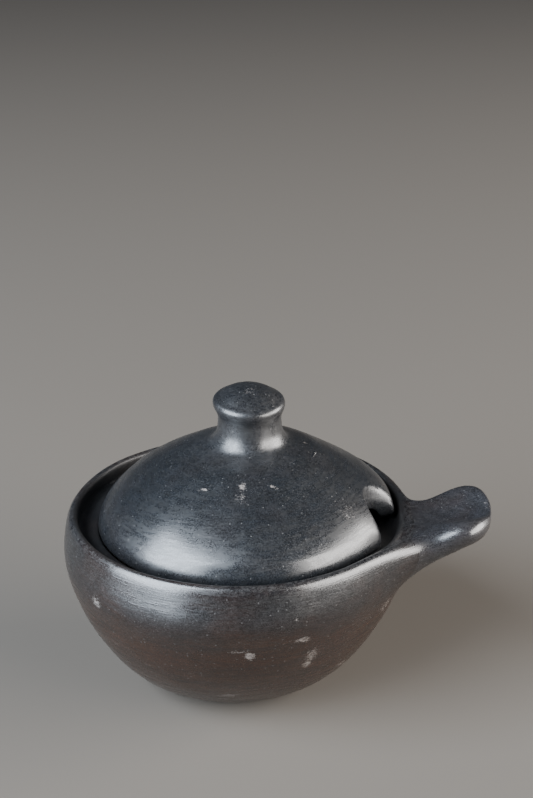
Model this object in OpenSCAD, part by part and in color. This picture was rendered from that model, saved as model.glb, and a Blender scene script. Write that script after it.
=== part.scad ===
// Small hand-built black clay pot with a lug handle and a domed lid.
// The lid drops into a gallery inside the rim, and has a notch for a spoon handle.
// Origin: centre of the flat base. +Z is up, and the handle points along +X.

/* [Bowl] */
// Radius of the flat that the pot stands on
base_r = 22; // [18:0.5:26]
// Largest radius of the bowl, at its belly
belly_r = 59.1; // [57:0.1:62]
// Height of the belly above the base
belly_z = 51; // [46:0.5:53]
// Height of the rim's crest above the base
rim_z = 62.4; // [61:0.1:66]
// Thickness of the wall just under the rim
rim_wall = 4.7; // [4:0.1:5]
// Thickness of the floor at its centre
floor_t = 7; // [5:0.5:9]

/* [Lid gallery] */
// Depth of the gallery's floor below the rim's crest
gallery_depth = 5.9; // [5:0.1:7]
// Inner radius of the gallery's floor
gallery_r = 47; // [46:0.1:47.5]

/* [Handle] */
// Reach of the handle's tip from the bowl's axis
handle_reach = 86.6; // [84:0.1:92]
// Depth of the thumb hollow in the handle's top
thumb_dish = 2.4; // [1:0.1:3]

/* [Lid] */
// Largest radius of the lid
lid_r = 50.3; // [49:0.1:51]
// Height of the dome above the lid's foot, to where the knob joins
dome_h = 31.5; // [30:0.1:34]
// Thickness of the lid's clay
lid_t = 4.4; // [4:0.1:6]

/* [Spoon notch] */
// Diameter of the round bite that makes the notch
notch_d = 21; // [18:0.5:24]
// How far the notch reaches in from the lid's edge
notch_depth = 8.8; // [8:0.1:12]
// Direction of the notch, turned from the handle
notch_turn = -4; // [-60:1:60]

/* [Knob] */
// Radius of the knob's head
head_r = 12.1; // [11:0.1:14]
// Radius of the knob's neck
neck_r = 10.8; // [9:0.1:10.9]
// Height of the knob above its luted joint
knob_h = 17.6; // [16:0.1:20]

/* [Hidden] */

$fn = 180;
clay = [0.07, 0.07, 0.075];
arc_steps = 12;         // straight steps in one curve of an outline

// Gallery and lid seat
seat_z = rim_z - gallery_depth;
inner_rim_r = belly_r - rim_wall;

// Crest of the rim, halfway across its round top
crest_r = belly_r - rim_wall / 2 - 0.2;

// Luted joint between the lid's collar and the knob
joint_r = 12.3;
joint_z = seat_z + dome_h;

// Handle: its cross-section at stations from inside the wall out to where the tip starts to
// round off. Each is [x, reach to the far side, reach to the near side, top, underside].
// The near side leaves the rim in a long sweep, and the far side in a short one.
stations = [
    [46, 20, 35.5, 62, 30],
    [52, 17, 30, 62, 37],
    [58, 14.4, 24, 61.6, 43],
    [64, 14, 18.6, 61.4, 48],
    [70, 15.4, 15.6, 63.2, 52.4],
    [76, 16.6, 14.6, 66, 56.6],
    [handle_reach, 16, 14.2, 68.4, 61]
];
tip_x = 73;             // where the tip starts to round off
edge_roll = 4.6;        // from the rolled edges' widest line up to their crests
loft_rings = 22;
ring_points = 28;

// Point at t on the cubic curve with the four control points p
function curve_point(p, t) =
    pow(1 - t, 3) * p[0] + 3 * pow(1 - t, 2) * t * p[1]
    + 3 * (1 - t) * t * t * p[2] + pow(t, 3) * p[3];

// Points along that curve, without its last one, so that curves can follow each other
function curve(a, b, c, d) =
    [for (i = [0 : arc_steps - 1]) curve_point([a, b, c, d], i / arc_steps)];

// Smooth step from 0 at a to 1 at b
function ease(x, a, b) =
    let (t = min(1, max(0, (x - a) / (b - a)))) t * t * (3 - 2 * t);

// Value of a station's column c at x, eased from one station to the next
function station(x, c) =
    let (
        n = len(stations) - 1,
        i = max([for (k = [0 : n - 1]) if (stations[k][0] <= x) k]),
        before = stations[max(0, i - 1)],
        from = stations[i],
        to = stations[i + 1],
        after = stations[min(n, i + 2)],
        span = to[0] - from[0],
        t = (x - from[0]) / span,
        slope_from = (to[c] - before[c]) / (to[0] - before[0]) * span / 3,
        slope_to = (after[c] - from[c]) / (after[0] - from[0]) * span / 3
    )
    curve_point([from[c], from[c] + slope_from, to[c] - slope_to, to[c]], t);

// Outside of the bowl, from the edge of the base to the crest of the rim
bowl_outside = concat(
    curve([base_r, 0], [base_r + 19.4, 4.8], [belly_r, belly_z - 16], [belly_r, belly_z]),
    curve([belly_r, belly_z], [belly_r, belly_z + 6], [belly_r - 0.6, rim_z], [crest_r, rim_z])
);

// From the crest down the inside of the rim, across the gallery and down to the floor
bowl_inside = concat(
    curve(
        [crest_r, rim_z], [inner_rim_r + 0.3, rim_z],
        [inner_rim_r, rim_z - 1.6], [inner_rim_r, rim_z - 3.2]
    ),
    curve(
        [inner_rim_r, rim_z - 3.2], [inner_rim_r, seat_z + 0.8],
        [inner_rim_r - 0.8, seat_z], [inner_rim_r - 2.4, seat_z]
    ),
    [[inner_rim_r - 2.4, seat_z]],
    curve(
        [gallery_r + 1.2, seat_z], [gallery_r + 0.4, seat_z],
        [gallery_r, seat_z - 0.4], [gallery_r, seat_z - 1.2]
    ),
    curve([gallery_r, seat_z - 1.2], [gallery_r, seat_z - 28], [gallery_r - 20, floor_t], [0, floor_t]),
    [[0, floor_t]]
);

module bowl() {
    color(clay)
        rotate_extrude()
            polygon(concat([[0, 0]], bowl_outside, bowl_inside));
}

// All that lies inside the bowl's outer face, and the open mouth above it
module bowl_core() {
    above = rim_z + 20;
    rotate_extrude()
        polygon(concat([[0, 0]], bowl_outside, [[crest_r, rim_z], [crest_r, above], [0, above]]));
}

// How much of its full size the handle keeps at x, as its tip rounds off
function rounding(x, power) =
    sqrt(max(0, 1 - pow(max(0, x - tip_x) / (handle_reach - tip_x), power)));

// One cross-section of the handle: a rolled edge along each side, the thumb hollow in its
// top, and a keel below that braces it against the wall
function handle_ring(x) =
    let (
        far = station(x, 1) * rounding(x, 2.3) + 0.1,
        near = station(x, 2) * rounding(x, 2.3) + 0.1,
        edge = station(x, 3) - edge_roll,
        rise = edge_roll * rounding(x, 4) + 0.1,
        drop = (edge - station(x, 4)) * rounding(x, 4) + 0.1,
        dish = thumb_dish * ease(x, 60, 70) * (1 - ease(x, 76, handle_reach))
    )
    [for (i = [0 : ring_points - 1])
        let (
            a = 360 * i / ring_points,
            y = sign(cos(a)) * pow(abs(cos(a)), sin(a) > 0 ? 0.8 : 1.15),
            z = pow(abs(sin(a)), sin(a) > 0 ? 0.8 : 1.15),
            hollow = dish * z * pow(max(0, 1 - y * y), 1.5)
        )
        [x, (y > 0 ? far : near) * y, sin(a) > 0 ? edge + rise * z - hollow : edge - drop * z]];

// The rings crowd together towards the tip, where the outline turns fastest
root_x = stations[0][0];
ring_x = [for (i = [0 : loft_rings]) root_x + (handle_reach - root_x) * sin(90 * i / loft_rings)];

module handle_loft() {
    points = [for (x = ring_x) each handle_ring(x)];
    last = loft_rings * ring_points;
    sides = [for (r = [0 : loft_rings - 1], i = [0 : ring_points - 1])
        let (
            j = (i + 1) % ring_points,
            a = r * ring_points + i,
            b = r * ring_points + j,
            c = b + ring_points,
            d = a + ring_points
        )
        each [[a, b, c], [a, c, d]]];
    root_cap = [for (i = [ring_points - 1 : -1 : 0]) i];
    tip_cap = [for (i = [0 : ring_points - 1]) last + i];
    polyhedron(points, concat(sides, [root_cap, tip_cap]), convexity = 4);
}

module handle() {
    color(clay)
        difference() {
            handle_loft();
            bowl_core();
        }
}

// Outside of the lid: round edge, dome, and the collar drawn up to meet the knob
lid_edge_z = seat_z + 3.6;
lid_outside = concat(
    curve([lid_r - 2, seat_z], [lid_r - 0.8, seat_z], [lid_r, seat_z + 1.4], [lid_r, lid_edge_z]),
    curve([lid_r, lid_edge_z], [lid_r - 0.6, seat_z + 11], [36, seat_z + 19], [26, seat_z + 24.2]),
    curve([26, seat_z + 24.2], [19, seat_z + 27.8], [joint_r + 0.9, joint_z - 4], [joint_r, joint_z]),
    [[joint_r, joint_z]]
);

// Underside of the lid, from the centre of its vault to the inner edge of its foot
vault_z = joint_z - lid_t - 4;
foot_r = lid_r - lid_t - 1;
lid_inside = concat(
    curve([0, vault_z], [20, vault_z], [foot_r - 4, seat_z + 12], [foot_r, seat_z + 1]),
    [[foot_r, seat_z + 1], [foot_r + 0.6, seat_z]]
);

// Round bite out of the lid's edge, for a spoon's handle
module notch_cutter() {
    rotate([0, 0, notch_turn])
        translate([lid_r - notch_depth + notch_d / 2, 0, seat_z - 1])
            cylinder(d = notch_d, h = dome_h);
}

module lid() {
    color(clay)
        difference() {
            rotate_extrude()
                polygon(concat(lid_outside, [[0, joint_z]], lid_inside));
            notch_cutter();
        }
}

// Knob: a short waisted neck under a mushroom head with a domed top
head_z = joint_z + 12.4;
neck_z = joint_z + 6.2;
knob_outside = concat(
    curve([joint_r, joint_z], [joint_r - 0.6, joint_z + 2.4], [neck_r, neck_z - 2.2], [neck_r, neck_z]),
    curve([neck_r, neck_z], [neck_r, neck_z + 2.4], [head_r, head_z - 2.8], [head_r, head_z]),
    curve([head_r, head_z], [head_r, head_z + 3], [head_r - 6, joint_z + knob_h], [0, joint_z + knob_h]),
    [[0, joint_z + knob_h]]
);

module lid_knob() {
    color(clay)
        rotate_extrude()
            polygon(concat([[0, joint_z]], knob_outside));
}

bowl();
handle();
lid();
lid_knob();
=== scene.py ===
"""A small hand-built pot of burnished black clay, with a lug handle and a domed lid.

The pot and the lid are each shaped whole, so that every curve runs on without a break, and are
then parted along their luted joints into bowl and handle, and into lid and knob.
Lengths are in millimetres until a whole shape is finished, when it is brought to metres.
"""
import math

import bmesh
import bpy
import numpy as np
from mathutils import Matrix, Vector, noise
from mathutils.geometry import interpolate_bezier


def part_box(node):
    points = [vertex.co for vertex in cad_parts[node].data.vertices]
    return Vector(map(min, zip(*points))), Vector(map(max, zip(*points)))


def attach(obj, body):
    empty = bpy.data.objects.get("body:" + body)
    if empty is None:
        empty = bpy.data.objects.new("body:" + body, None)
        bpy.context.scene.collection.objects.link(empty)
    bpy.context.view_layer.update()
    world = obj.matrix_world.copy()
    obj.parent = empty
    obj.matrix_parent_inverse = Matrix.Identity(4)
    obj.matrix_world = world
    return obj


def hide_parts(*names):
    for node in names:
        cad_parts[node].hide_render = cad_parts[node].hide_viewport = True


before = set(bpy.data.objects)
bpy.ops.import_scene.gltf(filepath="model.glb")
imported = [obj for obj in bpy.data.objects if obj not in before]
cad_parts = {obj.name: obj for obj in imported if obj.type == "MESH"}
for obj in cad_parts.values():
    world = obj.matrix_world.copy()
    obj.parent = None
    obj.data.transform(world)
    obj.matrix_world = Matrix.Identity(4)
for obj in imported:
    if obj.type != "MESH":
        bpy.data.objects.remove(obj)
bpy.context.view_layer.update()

MM = 0.001

# ---------------------------------------------------------------- sizes from the frame

bowl_low, bowl_high = (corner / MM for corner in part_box("bowl"))
_, handle_high = (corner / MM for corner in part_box("handle"))
lid_low, lid_high = (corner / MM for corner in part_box("lid"))
knob_low, knob_high = (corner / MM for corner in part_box("lid_knob"))

rim_z = bowl_high.z                          # crest of the rim
tip_reach = handle_high.x                    # from the bowl's axis to the handle's tip
belly_r = (bowl_high.y - bowl_low.y) / 2     # widest radius of the bowl
belly_z = rim_z - 11.4                       # height of that widest place
seat_z = lid_low.z                           # floor of the gallery, where the lid sits
lid_r = (lid_high.y - lid_low.y) / 2
joint_z = lid_high.z                         # luted joint between lid and knob
joint_r = (knob_high.y - knob_low.y) / 2
knob_top = knob_high.z

# ---------------------------------------------------------------- what the maker's hands left

LEAN = 0.04                         # how far the pot leans, for each millimetre of height
BULGE = 1.8                         # of the wall under the rim, at the front
SAG = 1.2                           # of the wall just above the base, on the handle's side
LID_SHIFT = 2.6                     # how far off centre the lid's foot rests
SLOW_WAVE = 34                      # size of the broad unevenness of hand work
QUICK_WAVE = 11                     # size of the finer unevenness


def leaning_pot(point):
    """A point of the true pot, moved to where the leaning pot has it. The wall bulges a little
    under the rim at the front."""
    sag = SAG * (1 if point.x > 0 else 0.6) * math.exp(-((point.z - 9) / 11) ** 2)
    front = math.exp(-((azimuth(point) + 95) / 48) ** 2)
    bulge = 1 + BULGE * front * math.exp(-((point.z - 48) / 7) ** 2) / belly_r
    return Vector((
        point.x * bulge + LEAN * (point.z - rim_z) + sag * point.x / 40,
        point.y * bulge,
        point.z + 0.004 * point.x * point.z / rim_z,
    ))


def resting_lid(point):
    """A point of the true lid, moved to where the lid rests: off centre towards the handle,
    a little higher on that side, with its knob set on askew."""
    x = point.x + LID_SHIFT + 1.2 * ease(point.z, seat_z + 1, joint_z + 3)
    x -= 0.4 * ease(point.z, joint_z, knob_top) + 1.3 * math.exp(-((point.z - 76) / 8) ** 2)
    z = point.z + 0.028 * point.x - 0.06 * point.x * ease(point.z, joint_z, joint_z + 8)
    z += 0.06 * point.y * ease(point.z, joint_z + 5, knob_top - 3)
    return Vector((x, point.y, z))


def by_hand(point):
    """How far the hand-built surface strays from the true one at a point."""
    slow = noise.noise_vector(point / SLOW_WAVE + Vector((3.1, 0.4, 7.7)))
    quick = noise.noise_vector(point / QUICK_WAVE + Vector((9.2, 5.0, 1.3)))
    steady_base = min(1.0, point.z / 6)
    away = 0.55 * slow + 0.13 * quick
    return Vector((away.x, away.y, away.z * steady_base))


# ---------------------------------------------------------------- shaping helpers


def curve(start, pull_out, pull_in, end, steps):
    """Points along a curve from start to end, both given as (radius, height), end left out."""
    knots = [Vector((r, 0, z)) for r, z in (start, pull_out, pull_in, end)]
    return interpolate_bezier(*knots, steps + 1)[:-1]


def ease(value, low, high):
    """0 below low, 1 above high, and a smooth step between them."""
    t = min(1.0, max(0.0, (value - low) / (high - low)))
    return t * t * (3 - 2 * t)


def spin(outline, steps):
    """A closed shape turned from an outline that starts and ends on the axis."""
    bm = bmesh.new()
    verts = [bm.verts.new(point) for point in outline]
    edges = [bm.edges.new(pair) for pair in zip(verts, verts[1:])]
    bmesh.ops.spin(
        bm, geom=verts + edges, cent=(0, 0, 0), axis=(0, 0, 1),
        angle=2 * math.pi, steps=steps, use_merge=True,
    )
    bmesh.ops.remove_doubles(bm, verts=bm.verts, dist=1e-4)
    bmesh.ops.recalc_face_normals(bm, faces=bm.faces)
    return bm


def azimuth(point):
    """Direction of a point around the axis in degrees, from the handle."""
    return math.degrees(math.atan2(point.y, point.x))


def rounded(bm, levels):
    """The cage in bm with subdivision surface applied, as a new bmesh."""
    mesh = bpy.data.meshes.new("cage")
    bm.to_mesh(mesh)
    bm.free()
    cage = bpy.data.objects.new("cage", mesh)
    bpy.context.scene.collection.objects.link(cage)
    rounding = cage.modifiers.new("Rounding", "SUBSURF")
    rounding.levels = rounding.render_levels = levels
    bpy.context.view_layer.update()
    smooth = bpy.data.meshes.new_from_object(
        cage.evaluated_get(bpy.context.evaluated_depsgraph_get())
    )
    bpy.data.objects.remove(cage)
    result = bmesh.new()
    result.from_mesh(smooth)
    return result


def hand_finish(bm, settle):
    """Gives the whole shape the unevenness of hand work, settles it, and brings it to metres."""
    for vert in bm.verts:
        vert.co = settle(vert.co + by_hand(vert.co))
    bmesh.ops.scale(bm, vec=(MM, MM, MM), verts=bm.verts)
    bmesh.ops.recalc_face_normals(bm, faces=bm.faces)
    bm.normal_update()


def part(whole, name, index):
    """One of the clay pieces that make up a whole, cut along its luted joint and closed there.
    The surface keeps the whole's normals, so that light runs across the joint unbroken."""
    bm = whole.copy()
    flow = bm.verts.layers.float_vector.new("flow")
    for vert in bm.verts:
        vert[flow] = vert.normal
    others = [face for face in bm.faces if face.material_index != index]
    bmesh.ops.delete(bm, geom=others, context="FACES")
    joint = [edge for edge in bm.edges if edge.is_boundary]
    caps = bmesh.ops.holes_fill(bm, edges=joint, sides=0)["faces"]
    caps = set(bmesh.ops.poke(bm, faces=caps)["faces"])
    bmesh.ops.recalc_face_normals(bm, faces=bm.faces)
    for edge in joint:
        edge.smooth = False
    bm.faces.index_update()
    normals = []
    for face in bm.faces:
        face.smooth = face not in caps
        face.material_index = 0
        normals += [(0, 0, 0) if face in caps else tuple(loop.vert[flow]) for loop in face.loops]
    mesh = bpy.data.meshes.new(name)
    bm.to_mesh(mesh)
    bm.free()
    mesh.normals_split_custom_set(normals)
    mesh.attributes.remove(mesh.attributes["flow"])
    piece = bpy.data.objects.new(name, mesh)
    bpy.context.scene.collection.objects.link(piece)
    return piece


# ---------------------------------------------------------------- the pot: bowl and handle

SEGMENTS = 64                       # around the bowl's cage
STEP = 360 / SEGMENTS
BOWL, HANDLE = 0, 1                 # material index of each piece's faces, until they are parted
RIM_WALL = 4.7                      # thickness of the wall just under the rim
NEAR_PULL, FAR_PULL = 7.2, 1.2      # how far the rim is drawn out on each side of the handle

# The patch of wall that the handle is drawn out of: columns from the near side to the far side,
# and rows from the rim's crest down
NEAR_COLUMN, FAR_COLUMN = -3, 2
PATCH_COLUMNS = FAR_COLUMN - NEAR_COLUMN
PATCH_ROWS = 5

# The rings of the handle's cage. Each is cut aslant, from a far side to a near side:
# (distance back from the tip, reach sideways, height of the rolled edge's crest) of either side,
# then the height of the underside and the depth of the thumb hollow
RINGS = [
    ((24.1, 14.6, 62.8), (19.6, 18.0, 64.0), 50.4, 1.2),
    ((20.1, 16.0, 64.4), (16.0, 17.2, 66.0), 52.6, 3.2),
    ((15.6, 17.6, 66.4), (12.6, 16.8, 67.4), 54.4, 4.8),
    ((11.3, 18.4, 67.8), (10.0, 16.4, 68.0), 56.2, 5.6),
    ((7.2, 17.4, 68.4), (7.0, 15.4, 68.0), 57.6, 5.0),
    ((4.0, 13.4, 68.0), (4.0, 12.4, 67.4), 58.8, 2.8),
    ((2.0, 8.2, 66.6), (2.0, 7.6, 66.0), 60.8, 0.4),
]


def pot_outline():
    """Outside of the bowl from the base to the crest, then down inside to the floor."""
    crest_r = belly_r - RIM_WALL / 2 - 0.2
    inner_r = belly_r - RIM_WALL
    floor_z = 7
    outside = (
        [Vector((0, 0, 0)), Vector((11, 0, 0)), Vector((19, 0, 0))]
        + curve((23.5, 0.2), (43.2, 4.8), (belly_r, belly_z - 16.6), (belly_r, belly_z), 10)
        + curve((belly_r, belly_z), (belly_r, belly_z + 6), (belly_r - 0.6, rim_z), (crest_r, rim_z), 4)
    )
    inside = (
        curve((crest_r, rim_z), (inner_r + 0.3, rim_z), (inner_r, rim_z - 1.6), (inner_r, rim_z - 3.2), 3)
        + [Vector((inner_r, 0, seat_z + 0.9)), Vector((inner_r - 1.2, 0, seat_z))]
        + [Vector((50.5, 0, seat_z)), Vector((48.0, 0, seat_z)), Vector((47.1, 0, seat_z - 0.8))]
        + curve((46.9, seat_z - 2.4), (46.9, 29), (27, floor_z), (0, floor_z), 10)
        + [Vector((0, 0, floor_z))]
    )
    return outside + inside


def draw_out_rim(bm):
    """Pulls the rim outwards on both sides of the handle, so that it runs into the handle:
    in a long sweep on the near side, and a short one on the far side."""
    near_edge, far_edge = NEAR_COLUMN * STEP, FAR_COLUMN * STEP
    for vert in bm.verts:
        turn = azimuth(vert.co)
        radius = vert.co.xy.length
        if radius < belly_r - 4.2 or abs(turn) > 60:
            continue
        if turn < 0:
            beyond = max(0.0, near_edge - turn)
            pull = NEAR_PULL * math.exp(-beyond / 8.5) * ease(vert.co.z, 39, 59)
            if vert.co.z > rim_z - 1.5:
                pull *= 0.8
            if vert.co.z > rim_z - 0.3:
                pull *= 0.75 * ease(turn, 8, near_edge)
        else:
            beyond = max(0.0, turn - far_edge)
            pull = FAR_PULL * max(0.0, 1 - beyond / 7) ** 2 * ease(vert.co.z, 44, 56)
        vert.co.xy *= (radius + pull) / radius


def patch_faces(bm, outline):
    """The faces of the handle's patch, each of their corners marked with its column and row."""
    column = bm.verts.layers.int.new("column")
    row = bm.verts.layers.int.new("row")
    crest = max(range(len(outline)), key=lambda i: outline[i].z)
    rows = [outline[crest - k] for k in range(PATCH_ROWS + 1)]
    corners = set()
    for vert in bm.verts:
        turn = azimuth(vert.co) / STEP
        at = [k for k, point in enumerate(rows)
              if abs(point.z - vert.co.z) < 0.02 and abs(point.x - vert.co.xy.length) < 0.05]
        if at and NEAR_COLUMN - 0.1 < turn < FAR_COLUMN + 0.1:
            vert[column] = round(turn) - NEAR_COLUMN
            vert[row] = at[0]
            corners.add(vert)
    return [face for face in bm.faces if all(vert in corners for vert in face.verts)]


def on_section(column, row, width, crest, under, hollow):
    """Where a corner of the patch goes on a cross-section: how far sideways, and how high.
    Row 0 runs along the crests of the rolled edges, and the last row along the underside."""
    across = 2 * column / PATCH_COLUMNS - 1
    deep = crest - under
    roll = 5.6 if across < 0 else 4.6
    half = (width - roll, width - 0.32 * roll, width, width - 0.7, width * 0.8, width * 0.45)[row]
    down = (0.0, 0.11 * deep, 0.36 * deep, 0.61 * deep, 0.85 * deep, deep)[row]
    if row == 0:
        down += hollow * (1 - across * across) ** 1.2
    return across * max(half, 0.5 * width), crest - down


def draw_out_handle(bm, faces):
    """Draws the patch out into the handle, ring by ring. The last ring is its domed tip."""
    column = bm.verts.layers.int["column"]
    row = bm.verts.layers.int["row"]
    for far, near, under, hollow in RINGS:
        drawn = bmesh.ops.extrude_face_region(bm, geom=faces)["geom"]
        bmesh.ops.delete(bm, geom=[f for f in faces if f.is_valid], context="FACES")
        faces = [g for g in drawn if isinstance(g, bmesh.types.BMFace)]
        for vert in {v for face in faces for v in face.verts}:
            across = 2 * vert[column] / PATCH_COLUMNS - 1
            down = 2 * vert[row] / PATCH_ROWS - 1
            side = (across + 1) / 2
            back, width, crest = (n + (f - n) * share for n, f, share in zip(
                near, far, (side, float(side > 0.5), side)))
            y, z = on_section(vert[column], vert[row], width, crest, under, hollow)
            vert.co = (tip_reach - back + 0.8 * (1 - across * across) * (1 - down * down), y, z)


def pot_whole():
    """The bowl and its handle as one finished shape, each face marked with its piece."""
    outline = pot_outline()
    bm = spin(outline, SEGMENTS)
    faces = patch_faces(bm, outline)
    bowl_faces = set(bm.faces) - set(faces)
    draw_out_rim(bm)
    draw_out_handle(bm, faces)
    bmesh.ops.recalc_face_normals(bm, faces=bm.faces)
    for face in bm.faces:
        face.material_index = BOWL if face in bowl_faces else HANDLE
    bm = rounded(bm, 2)
    hand_finish(bm, leaning_pot)
    return bm


# ---------------------------------------------------------------- the lid and its knob

LID_STEPS = 256
LID, KNOB = 0, 1
LIP = 2.2                           # depth over which the lid's edge rounds off
FOOT = 5.4                          # from the lid's edge to where its vault begins
BITE_R = 11.8                       # round bite for a spoon
BITE_DEPTH = 8.9
BITE_RUB = 0.9                      # how far its corners are rubbed round
BITE_TURN = math.radians(-6.2)
BITE_ZONE = 0.46                    # half of the edge, in radians, that makes room for the bite
BITE_ROOM = 30                      # how far in from the edge the shell makes room for it


def dome_curves():
    """Upper and lower faces of the lid's shell as (radius, height) points, radius rising."""
    shoulder = (26, seat_z + 25.2)
    edge = (lid_r, seat_z + 4.7)
    upper = (
        curve((joint_r, joint_z), (joint_r + 1.6, joint_z - 2.6), (19.5, seat_z + 29), shoulder, 24)
        + curve(shoulder, (36.5, seat_z + 19.2), (lid_r - 2.2, seat_z + 12), edge, 40)
        + [Vector((edge[0], 0, edge[1]))]
    )
    vault_z = joint_z - 8.4
    foot_r = lid_r - FOOT
    lower = (
        curve((0, vault_z), (20, vault_z), (lid_r - 9.4, seat_z + 12), (foot_r, seat_z + 1), 48)
        + [Vector((foot_r, 0, seat_z + 1)), Vector((lid_r - 4.6, 0, seat_z)), Vector((lid_r, 0, seat_z))]
    )
    return upper, lower


UPPER, LOWER = dome_curves()
UPPER_R, UPPER_Z = [p.x for p in UPPER], [p.z for p in UPPER]
LOWER_R, LOWER_Z = [p.x for p in LOWER], [p.z for p in LOWER]


def shell_at(radius):
    """Middle height and half thickness of the lid's shell at a radius."""
    top = float(np.interp(radius, UPPER_R, UPPER_Z))
    under = float(np.interp(radius, LOWER_R, LOWER_Z))
    return (top + under) / 2, (top - under) / 2


def lip(inset):
    """Share of the shell's thickness that its round edge keeps at a distance from the edge."""
    return math.sqrt(max(0.0, 1 - (1 - min(1.0, inset / LIP)) ** 2))


def lid_outline():
    """From the top of the knob down over the dome, round the edge and up into the vault."""
    neck_r = joint_r - 1.6
    head_r = joint_r - 0.2
    head_z = knob_top - 5.3
    top_z = knob_top + 0.4
    brow = (head_r - 1.8, knob_top - 3.3)
    widest = (head_r, head_z - 0.4)
    under_head = (neck_r + 0.5, head_z - 2.9)
    waist = (neck_r + 0.1, joint_z + 4)
    knob = (
        curve((0, top_z), (3.2, top_z), (7.4, knob_top - 1.1), brow, 14)
        + curve(brow, (head_r - 0.4, knob_top - 3.9), (head_r + 0.1, head_z + 0.7), widest, 8)
        + curve(widest, (head_r - 0.1, head_z - 1.7), (head_r - 0.6, head_z - 2), under_head, 6)
        + curve(under_head, (neck_r - 0.3, head_z - 3.9), (neck_r - 0.1, joint_z + 6), waist, 8)
        + curve(waist, (neck_r + 0.3, joint_z + 2.2), (joint_r - 0.7, joint_z + 1.2), (joint_r, joint_z), 6)
    )
    insets = [LIP * k / 8 for k in range(9)] + [3.2, 4.4]
    dome = [Vector((r, 0, float(np.interp(r, UPPER_R, UPPER_Z))))
            for r in np.arange(joint_r, lid_r - FOOT, 0.9)]
    edge = []
    for inset in reversed(insets):
        middle, half = shell_at(lid_r - inset)
        edge.append(Vector((lid_r - inset, 0, middle + half * lip(inset))))
    for inset in insets[1:]:
        middle, half = shell_at(lid_r - inset)
        edge.append(Vector((lid_r - inset, 0, middle - half * lip(inset))))
    vault = [Vector((r, 0, float(np.interp(r, LOWER_R, LOWER_Z))))
             for r in np.concatenate([np.arange(lid_r - 5.0, 6, -1.1), [3.0, 0.0]])]
    return knob + dome + edge + vault


def bite_edge():
    """Plan of the lid's edge around the bite, as directions and the points that they go to.
    The points share out the edge's new length evenly, and its corners are rubbed round."""
    centre = lid_r - BITE_DEPTH + BITE_R
    count = 1201
    turns = np.linspace(-BITE_ZONE, BITE_ZONE, count)
    reach = np.full(count, lid_r)
    inside = np.abs(np.sin(turns)) * centre < BITE_R * 0.9999
    near = centre * np.cos(turns[inside]) - np.sqrt(BITE_R ** 2 - (centre * np.sin(turns[inside])) ** 2)
    reach[inside] = np.minimum(lid_r, near)
    path = np.stack([reach * np.cos(turns), reach * np.sin(turns)], 1)
    # Even spacing first, then the corners are rubbed round by averaging along the edge
    for _ in range(2):
        along = np.concatenate([[0], np.cumsum(np.hypot(*np.diff(path, axis=0).T))])
        even = np.linspace(0, along[-1], count)
        path = np.stack([np.interp(even, along, path[:, k]) for k in (0, 1)], 1)
        spacing = along[-1] / count
        reach_of_rub = int(BITE_RUB / spacing)
        kernel = np.hanning(2 * reach_of_rub + 1)
        kernel /= kernel.sum()
        padded = np.pad(path, ((reach_of_rub, reach_of_rub), (0, 0)), mode="edge")
        ends = path[:reach_of_rub].copy(), path[-reach_of_rub:].copy()
        path = np.stack([np.convolve(padded[:, k], kernel, mode="valid") for k in (0, 1)], 1)
        path[:reach_of_rub], path[-reach_of_rub:] = ends
    return turns, path


def bite_lid(bm):
    """Moves the lid's edge in to the bite. The shell behind it makes room, and its round lip
    follows the new edge."""
    turns, path = bite_edge()
    for vert in bm.verts:
        flat = vert.co.xy.length
        turn = math.atan2(vert.co.y, vert.co.x)
        inset = lid_r - flat
        if inset > BITE_ROOM or vert.co.z > joint_z - 5 or abs(turn) > BITE_ZONE:
            continue
        middle, half = shell_at(flat)
        upper = vert.co.z > middle
        edge = Vector([np.interp(turn, turns, path[:, k]) for k in (0, 1)])
        inner = Vector((math.cos(turn), math.sin(turn))) * (lid_r - BITE_ROOM)
        plan = edge.lerp(inner, inset / BITE_ROOM)
        to_edge = float(np.min(np.hypot(*(path - np.array(plan)).T)))
        middle, half = shell_at(plan.length)
        if inset > 0.01:
            # The cut is steep at its deepest, and rounder towards its far corner
            firm = 1 + 1.8 * (1 - ease(turn, 0.0, 0.2)) * (1 - ease(-turn, 0.22, 0.34))
            height = middle + half * lip(to_edge * firm) * (1 if upper else -1)
        else:
            height = middle
        vert.co = (plan.x, plan.y, height)
    turn_back = Matrix.Rotation(BITE_TURN, 3, "Z")
    bmesh.ops.rotate(bm, cent=(0, 0, 0), matrix=turn_back, verts=bm.verts)


def lid_whole():
    """The lid and its knob as one finished shape, each face marked with its piece."""
    bm = spin(lid_outline(), LID_STEPS)
    for face in bm.faces:
        face.material_index = KNOB if face.calc_center_median().z > joint_z else LID
    bite_lid(bm)
    hand_finish(bm, resting_lid)
    return bm


# ---------------------------------------------------------------- materials

SPECK_COLOUR = (0.10, 0.096, 0.092, 1)
CHALK_COLOUR = (0.25, 0.215, 0.19, 1)
FADE = 1.5                          # a scuff has faded out at this many times its half size


def put(tree, kind, sockets=None, **settings):
    """Adds a shader node, sets or links its sockets, and returns it."""
    made = tree.nodes.new("ShaderNode" + kind)
    for key, value in settings.items():
        setattr(made, key, value)
    for key, value in (sockets or {}).items():
        if isinstance(value, bpy.types.NodeSocket):
            tree.links.new(value, made.inputs[key])
        else:
            made.inputs[key].default_value = value
    return made


def calc(tree, operation, *values, clamp=False):
    """The result of a sum with numbers or the outputs of other nodes."""
    return put(tree, "Math", dict(enumerate(values)), operation=operation, use_clamp=clamp).outputs[0]


def spread(tree, value, low, high, to_low=0.0, to_high=1.0):
    """Takes value from low..high to to_low..to_high, easing at both ends."""
    sockets = {"Value": value, "From Min": low, "From Max": high, "To Min": to_low, "To Max": to_high}
    return put(tree, "MapRange", sockets, interpolation_type="SMOOTHSTEP").outputs["Result"]


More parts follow.
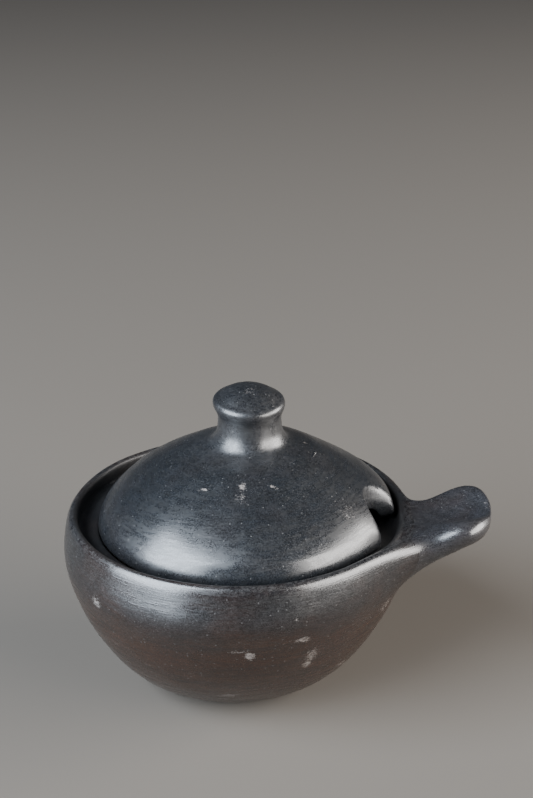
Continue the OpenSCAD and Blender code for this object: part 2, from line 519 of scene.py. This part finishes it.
def blend(tree, share, under, over):
    """Colour that goes from under to over as share goes from 0 to 1."""
    return put(tree, "Mix", {0: share, 6: under, 7: over}, data_type="RGBA").outputs[2]


def placed(tree, scale, location=(0, 0, 0)):
    """Object coordinates with scale given per millimetre."""
    coords = put(tree, "TexCoord").outputs["Object"]
    sockets = {"Vector": coords, "Scale": [s / MM for s in scale], "Location": location}
    return put(tree, "Mapping", sockets).outputs[0]


def cloud(tree, vector, detail=4.0, roughness=0.55, distortion=0.0):
    """Soft noise around 0.5."""
    sockets = {"Vector": vector, "Scale": 1.0, "Detail": detail,
               "Roughness": roughness, "Distortion": distortion}
    return put(tree, "TexNoise", sockets).outputs["Fac"]


def around(tree, turns, rings):
    """Coordinates that run round the axis: stretched along each circle, close across circles."""
    coords = placed(tree, (1, 1, 1))
    flat = put(tree, "VectorMath", {0: coords, 1: (1, 1, 0)}, operation="MULTIPLY").outputs[0]
    reach = put(tree, "VectorMath", {0: flat}, operation="LENGTH").outputs["Value"]
    way = put(tree, "VectorMath", {0: flat}, operation="NORMALIZE").outputs[0]
    wide = put(tree, "VectorMath", {0: way, "Scale": turns}, operation="SCALE").outputs[0]
    deep = put(tree, "CombineXYZ", {"Z": calc(tree, "MULTIPLY", reach, rings)}).outputs[0]
    return put(tree, "VectorMath", {0: wide, 1: deep}, operation="ADD").outputs[0]


def specks(tree, size, share):
    """Pale mineral specks, fading from 1 to 0: share is how many of the cells have one."""
    cells = put(tree, "TexVoronoi", {"Vector": placed(tree, (1 / size,) * 3), "Scale": 1.0})
    near = spread(tree, cells.outputs["Distance"], 0.10, 0.24, 1.0, 0.0)
    chance = put(tree, "SeparateColor", {0: cells.outputs["Color"]}).outputs[0]
    return calc(tree, "MULTIPLY", near, calc(tree, "GREATER_THAN", chance, 1 - share))


def scuffs(tree, marks, grain):
    """Chalky rubbed places: each mark is (place in mm, half sizes in mm, strength)."""
    total = None
    for place, half, strength in marks:
        sockets = {
            "Vector": put(tree, "TexCoord").outputs["Object"],
            "Scale": [1 / (FADE * h * MM) for h in half],
            "Location": [-p / (FADE * h) for p, h in zip(place, half)],
        }
        local = put(tree, "Mapping", sockets).outputs[0]
        away = put(tree, "VectorMath", {0: local}, operation="LENGTH").outputs["Value"]
        mark = spread(tree, away, 0.1, 1.0, strength, 0.0)
        total = mark if total is None else calc(tree, "MAXIMUM", total, mark)
    worn = calc(tree, "ADD", calc(tree, "MULTIPLY", grain, 1.6), calc(tree, "MULTIPLY", total, 0.42))
    return calc(tree, "MULTIPLY", spread(tree, worn, 1.12, 1.26), spread(tree, total, 0.02, 0.3))


def burnished(name, dark, warm, warm_share, strokes, marks, gloss, dust, depth, dull=None):
    """Burnished black clay: a tone between dark and warm, strokes of the burnishing stone, pale specks
    and chalky scuffs. warm_share, strokes, dust and dull are functions that add their own nodes: the
    share of the warm tone (smoke drifts, and on the pot also a painted reflection below), the strokes,
    where dust lies, and where the clay is rougher. depth is how deep the strokes are, in mm."""
    material = bpy.data.materials.new(name)
    material.use_nodes = True
    tree = material.node_tree
    shader = tree.nodes["Principled BSDF"]
    shader.inputs["IOR"].default_value = 1.6
    shader.inputs["Coat Weight"].default_value = 0.06
    shader.inputs["Coat Roughness"].default_value = 0.2

    mottle = cloud(tree, placed(tree, (0.22, 0.22, 0.22)), 6, 0.65)
    grain = cloud(tree, placed(tree, (2.2, 2.2, 2.2)), 3, 0.7)
    broad, fine = strokes(tree)
    rubbed = cloud(tree, placed(tree, (0.7, 0.7, 2.0)), 6, 0.95)
    patches = spread(tree, cloud(tree, placed(tree, (0.07, 0.07, 0.07)), 4, 0.7), 0.42, 0.62)

    tone = blend(tree, warm_share(tree), dark, warm)
    shade = calc(tree, "ADD", spread(tree, mottle, 0.3, 0.7, 0.8, 1.2),
                 spread(tree, broad, 0.3, 0.7, -0.25, 0.35))
    shade = calc(tree, "ADD", shade, spread(tree, fine, 0.35, 0.7, -0.2, 0.4))
    shade = calc(tree, "ADD", shade, spread(tree, grain, 0.35, 0.7, -0.3, 0.75))
    grey = put(tree, "CombineColor", {0: shade, 1: shade, 2: shade}).outputs[0]
    shaded = put(tree, "Mix", {0: 1.0, 6: tone, 7: grey}, data_type="RGBA", blend_type="MULTIPLY")
    tone = shaded.outputs[2]

    spots = calc(tree, "MULTIPLY", specks(tree, 1.2, 0.14), 0.6)
    fine_spots = calc(tree, "MULTIPLY", specks(tree, 0.55, 0.35), calc(tree, "MULTIPLY", patches, 0.75))
    spots = calc(tree, "MAXIMUM", spots, fine_spots)
    film = calc(tree, "MULTIPLY", spread(tree, grain, 0.52, 0.72), calc(tree, "MULTIPLY", patches, 0.12))
    spots = calc(tree, "MAXIMUM", spots, film)
    lying = dust(tree)
    dusty = calc(tree, "MULTIPLY", specks(tree, 0.6, 0.5), lying)
    spots = calc(tree, "MAXIMUM", spots, calc(tree, "MULTIPLY", dusty, 0.45))
    film = calc(tree, "MULTIPLY", spread(tree, rubbed, 0.42, 0.66), lying)
    spots = calc(tree, "MAXIMUM", spots, calc(tree, "MULTIPLY", film, 0.3))
    chalk = scuffs(tree, marks, rubbed)
    colour = blend(tree, spots, tone, SPECK_COLOUR)
    colour = blend(tree, calc(tree, "MULTIPLY", chalk, 0.6), colour, CHALK_COLOUR)
    tree.links.new(colour, shader.inputs["Base Color"])

    rough = calc(tree, "ADD", gloss, spread(tree, broad, 0.3, 0.7, 0.07, -0.05))
    rough = calc(tree, "ADD", rough, spread(tree, fine, 0.3, 0.7, 0.06, -0.05))
    rough = calc(tree, "ADD", rough, spread(tree, grain, 0.35, 0.7, -0.06, 0.08))
    rough = calc(tree, "ADD", rough, spread(tree, mottle, 0.35, 0.7, -0.02, 0.03))
    rough = calc(tree, "ADD", rough, calc(tree, "MULTIPLY", spots, 0.3))
    if dull is not None:
        rough = calc(tree, "ADD", rough, dull(tree))
    rough = calc(tree, "ADD", rough, calc(tree, "MULTIPLY", chalk, 0.4), clamp=True)
    tree.links.new(rough, shader.inputs["Roughness"])

    height = calc(tree, "ADD", calc(tree, "MULTIPLY", broad, 0.6), calc(tree, "MULTIPLY", fine, 0.75))
    height = calc(tree, "ADD", height, calc(tree, "MULTIPLY", grain, 0.3))
    height = calc(tree, "SUBTRACT", height, calc(tree, "MULTIPLY", chalk, 0.4))
    bump = put(tree, "Bump", {"Strength": 0.6, "Distance": depth * MM, "Height": height})
    tree.links.new(bump.outputs[0], shader.inputs["Normal"])
    return material


def level_strokes(tree):
    """Strokes that run level round the wall: broad ones, and the fine lines within them."""
    return (cloud(tree, placed(tree, (0.05, 0.05, 0.6)), 5, 0.6, 0.3),
            cloud(tree, placed(tree, (0.13, 0.13, 2.4)), 4, 0.6, 0.2))


def ring_strokes(tree):
    """Strokes that circle the lid: broad ones, and the fine lines within them."""
    return (cloud(tree, around(tree, 4.0, 0.7), 5, 0.6, 0.3),
            cloud(tree, around(tree, 9.0, 2.6), 4, 0.6, 0.2))


def height_share(tree, low, high):
    """1 below low, 0 above high, in mm."""
    height = put(tree, "SeparateXYZ", {0: placed(tree, (1, 1, 1))}).outputs["Z"]
    return spread(tree, height, low, high, 1.0, 0.0)


def smoke(tree):
    """Broad drifts that the smoke of the firing left."""
    return spread(tree, cloud(tree, placed(tree, (0.045, 0.045, 0.06)), 5, 0.6), 0.42, 0.66)


def painted_brown_reflection_and_smoke(tree):
    """Painted reflection of a warm brown surface below: the lower wall turns browner, and broad drifts that
    the smoke of the firing left add to it.
    """
    drift = calc(tree, "MULTIPLY", smoke(tree), 0.4)
    # Painted reflection: below 34 to 56 mm the wall takes the warm colour, as if a brown surface under it
    # were mirrored there
    return calc(tree, "ADD", height_share(tree, 34, 56), drift, clamp=True)


def rim_dust(tree):
    """Dust lies on the rim, and more thinly on the wall below it."""
    crest = calc(tree, "SUBTRACT", 1.0, height_share(tree, 58, 62))
    wall = calc(tree, "MULTIPLY", calc(tree, "SUBTRACT", 1.0, height_share(tree, 20, 58)), 0.5)
    return calc(tree, "MAXIMUM", crest, wall)


def from_axis(tree):
    """Distance from the pot's axis, in mm."""
    return put(tree, "VectorMath", {0: placed(tree, (1, 1, 0))}, operation="LENGTH").outputs["Value"]


def collar_dust(tree):
    """The clay round the knob is dustier than the rest of the lid."""
    return spread(tree, from_axis(tree), 14, 26, 0.5, 0.2)


def handled(tree):
    """Handling leaves thin dust all over, so there is no node to add."""
    return 0.45


def unburnished_inside(tree):
    """The stone polished the outside only: all that lies inside the wall's middle is dull.
    The wall's middle is close to an ellipsoid."""
    half_width, half_height, centre_z = 57, 54, 60
    scale = (1 / half_width, 1 / half_width, 1 / half_height)
    from_middle = placed(tree, scale, (0, 0, -centre_z / half_height))
    away = put(tree, "VectorMath", {0: from_middle}, operation="LENGTH").outputs["Value"]
    return spread(tree, away, 0.955, 1.0, 0.3, 0.0)


def fingered(tree):
    """Fingers have dulled the knob's collar."""
    return spread(tree, from_axis(tree), 13, 24, 0.05, 0.0)


def bowl_clay():
    marks = [
        ((12.4, -54.3, 37.2), (2.6, 6, 3.0), 1.0),
        ((9.0, -55.6, 39.3), (6.0, 6, 0.9), 0.8),
        ((28.3, -49.8, 41.8), (3.6, 5, 2.0), 1.0),
        ((24.7, -51.9, 42.3), (7.0, 5, 0.8), 0.6),
        ((30.8, -44.3, 32.8), (3.6, 5, 5.0), 0.9),
        ((29.1, -43.2, 28.6), (2.2, 5, 3.0), 1.0),
        ((3.5, -44.3, 15.1), (6.0, 6, 2.0), 0.8),
        ((-38.4, -44.3, 46.6), (4, 4, 3.4), 0.95),
        ((-32.7, -41.5, 30.2), (4, 4, 2.4), 0.6),
        ((39.6, -26.0, 18.2), (5, 5, 2.4), 0.9),
        ((52.4, -21.0, 39.5), (3, 5, 6), 0.8),
        ((27.0, -52.7, 50.9), (1.2, 4, 1.2), 0.8),
        ((-20, 52, 36), (7, 6, 3), 0.7),
        ((38, 40, 30), (4, 5, 4), 0.7),
        ((-54, 8, 34), (5, 6, 2), 0.8),
        ((16, 48, 20), (8, 6, 1.6), 0.7),
        ((-50, 22, 52), (4, 5, 2.4), 0.6),
    ]
    # The warm colour is mostly a painted reflection of a brown surface on the lower wall; the rest is smoke
    # drifts
    return burnished(
        "Bowl clay", dark=(0.003, 0.003, 0.0036, 1), warm=(0.0092, 0.0032, 0.0013, 1),
        warm_share=painted_brown_reflection_and_smoke, strokes=level_strokes, marks=marks, gloss=0.24, dust=rim_dust,
        depth=0.12, dull=unburnished_inside,
    )


def handle_clay():
    marks = [
        ((83, 3, 67), (2.5, 4, 2), 0.7),
        ((60, -14, 45), (3, 5, 3), 0.6),
        ((73, 12, 60), (3, 4, 3), 0.5),
    ]
    # The warm colour shows where the handle runs low: a painted reflection of a brown surface, plus smoke
    # drifts
    return burnished(
        "Handle clay", dark=(0.010, 0.010, 0.0115, 1), warm=(0.0085, 0.0045, 0.003, 1),
        warm_share=painted_brown_reflection_and_smoke, strokes=level_strokes, marks=marks, gloss=0.26, dust=handled,
        depth=0.09,
    )


def lid_clay():
    marks = [
        ((5.5, -25.6, 81.6), (1.8, 2.4, 3), 0.95),
        ((5.5, -29.5, 79.6), (2.6, 3.4, 3), 0.75),
        ((-6.5, -26.7, 80.5), (3.0, 0.7, 3), 0.95),
        ((15, -23.6, 81.2), (2.6, 0.8, 3), 0.9),
        ((39, -20, 72), (6, 6, 3), 0.62),
        ((22, 3.5, 84), (2.4, 2, 2), 0.8),
        ((-32, -27, 68), (1.2, 1.4, 1.4), 1.0),
        ((-20, 28, 76), (5, 3, 3), 0.7),
        ((12, 36, 73), (7, 3, 3), 0.7),
    ]
    return burnished(
        "Lid clay", dark=(0.0046, 0.0054, 0.0066, 1), warm=(0.0062, 0.0062, 0.007, 1),
        warm_share=smoke, strokes=ring_strokes, marks=marks, gloss=0.30, dust=collar_dust,
        depth=0.06, dull=fingered,
    )


def knob_clay():
    marks = [((4, -2, 105), (4, 4, 2), 0.6), ((12, -6, 101), (2, 3, 2), 0.6)]
    return burnished(
        "Knob clay", dark=(0.004, 0.0045, 0.0055, 1), warm=(0.0052, 0.0052, 0.006, 1),
        warm_share=smoke, strokes=ring_strokes, marks=marks, gloss=0.34, dust=handled,
        depth=0.06,
    )


# ---------------------------------------------------------------- stage

VIEW_TURN = math.radians(8.5)       # the camera and the lights stand turned round the pot


def floor():
    """A plain sheet that the pot stands on."""
    bm = bmesh.new()
    bmesh.ops.create_grid(bm, x_segments=1, y_segments=1, size=4.0)
    mesh = bpy.data.meshes.new("floor")
    bm.to_mesh(mesh)
    bm.free()
    material = bpy.data.materials.new("Floor")
    material.use_nodes = True
    shader = material.node_tree.nodes["Principled BSDF"]
    shader.inputs["Base Color"].default_value = (0.092, 0.080, 0.067, 1)
    shader.inputs["Roughness"].default_value = 0.7
    mesh.materials.append(material)
    sheet = bpy.data.objects.new("floor", mesh)
    bpy.context.scene.collection.objects.link(sheet)


def window(name, turn, rise, width, height, power, colour):
    """A soft light like a window. Its direction is in degrees, and its size in metres."""
    distance = 1.5
    light = bpy.data.lights.new(name, "AREA")
    light.shape = "RECTANGLE"
    light.size, light.size_y = width, height
    light.energy = power
    light.color = colour
    lamp = bpy.data.objects.new(name, light)
    bpy.context.scene.collection.objects.link(lamp)
    heading = math.radians(turn) + VIEW_TURN
    tilt = math.radians(rise)
    way = Vector((
        math.cos(heading) * math.cos(tilt),
        math.sin(heading) * math.cos(tilt),
        math.sin(tilt),
    ))
    lamp.location = Vector((0, 0, 0.06)) + way * distance
    lamp.rotation_euler = way.to_track_quat("Z", "Y").to_euler()


def camera():
    """The camera stands in front, turned a little towards the handle, and looks down."""
    look_down = math.radians(22.68)
    distance = 529 * MM
    aside, aim_z = 9.4, 101.2
    aim = Vector((aside * math.cos(VIEW_TURN), aside * math.sin(VIEW_TURN), aim_z)) * MM
    forward = Vector((-math.sin(VIEW_TURN), math.cos(VIEW_TURN), 0)) * math.cos(look_down)
    forward.z = -math.sin(look_down)
    data = bpy.data.cameras.new("camera")
    data.lens = 72.2
    data.sensor_width = 36
    data.clip_start = 0.01
    eye = bpy.data.objects.new("camera", data)
    eye.location = aim - forward * distance
    eye.rotation_euler = (math.pi / 2 - look_down, 0, VIEW_TURN)
    bpy.context.scene.collection.objects.link(eye)
    bpy.context.scene.camera = eye


def surroundings():
    """Dim light from all round."""
    world = bpy.data.worlds.new("room")
    bpy.context.scene.world = world
    world.use_nodes = True
    back = world.node_tree.nodes["Background"]
    back.inputs["Color"].default_value = (0.80, 0.86, 1.0, 1)
    back.inputs["Strength"].default_value = 0.07


def finish_piece(piece, body, node, material):
    """Gives a piece its clay, hides the CAD part that it stands for, and ties it to its body."""
    piece.data.materials.clear()
    piece.data.materials.append(material)
    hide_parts(node)
    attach(piece, body)


camera()
surroundings()
floor()
window("left window", -147, 27, 1.3, 1.5, 158, (0.78, 0.88, 1.0))
window("right window", -12, 17, 2.0, 0.95, 115, (1.0, 0.97, 0.94))

pot = pot_whole()
finish_piece(part(pot, "bowl_body", BOWL), "pot", "bowl", bowl_clay())
finish_piece(part(pot, "lug_handle", HANDLE), "pot", "handle", handle_clay())
pot.free()

lid = lid_whole()
finish_piece(part(lid, "domed_lid", LID), "lid", "lid", lid_clay())
finish_piece(part(lid, "knob", KNOB), "lid", "lid_knob", knob_clay())
lid.free()
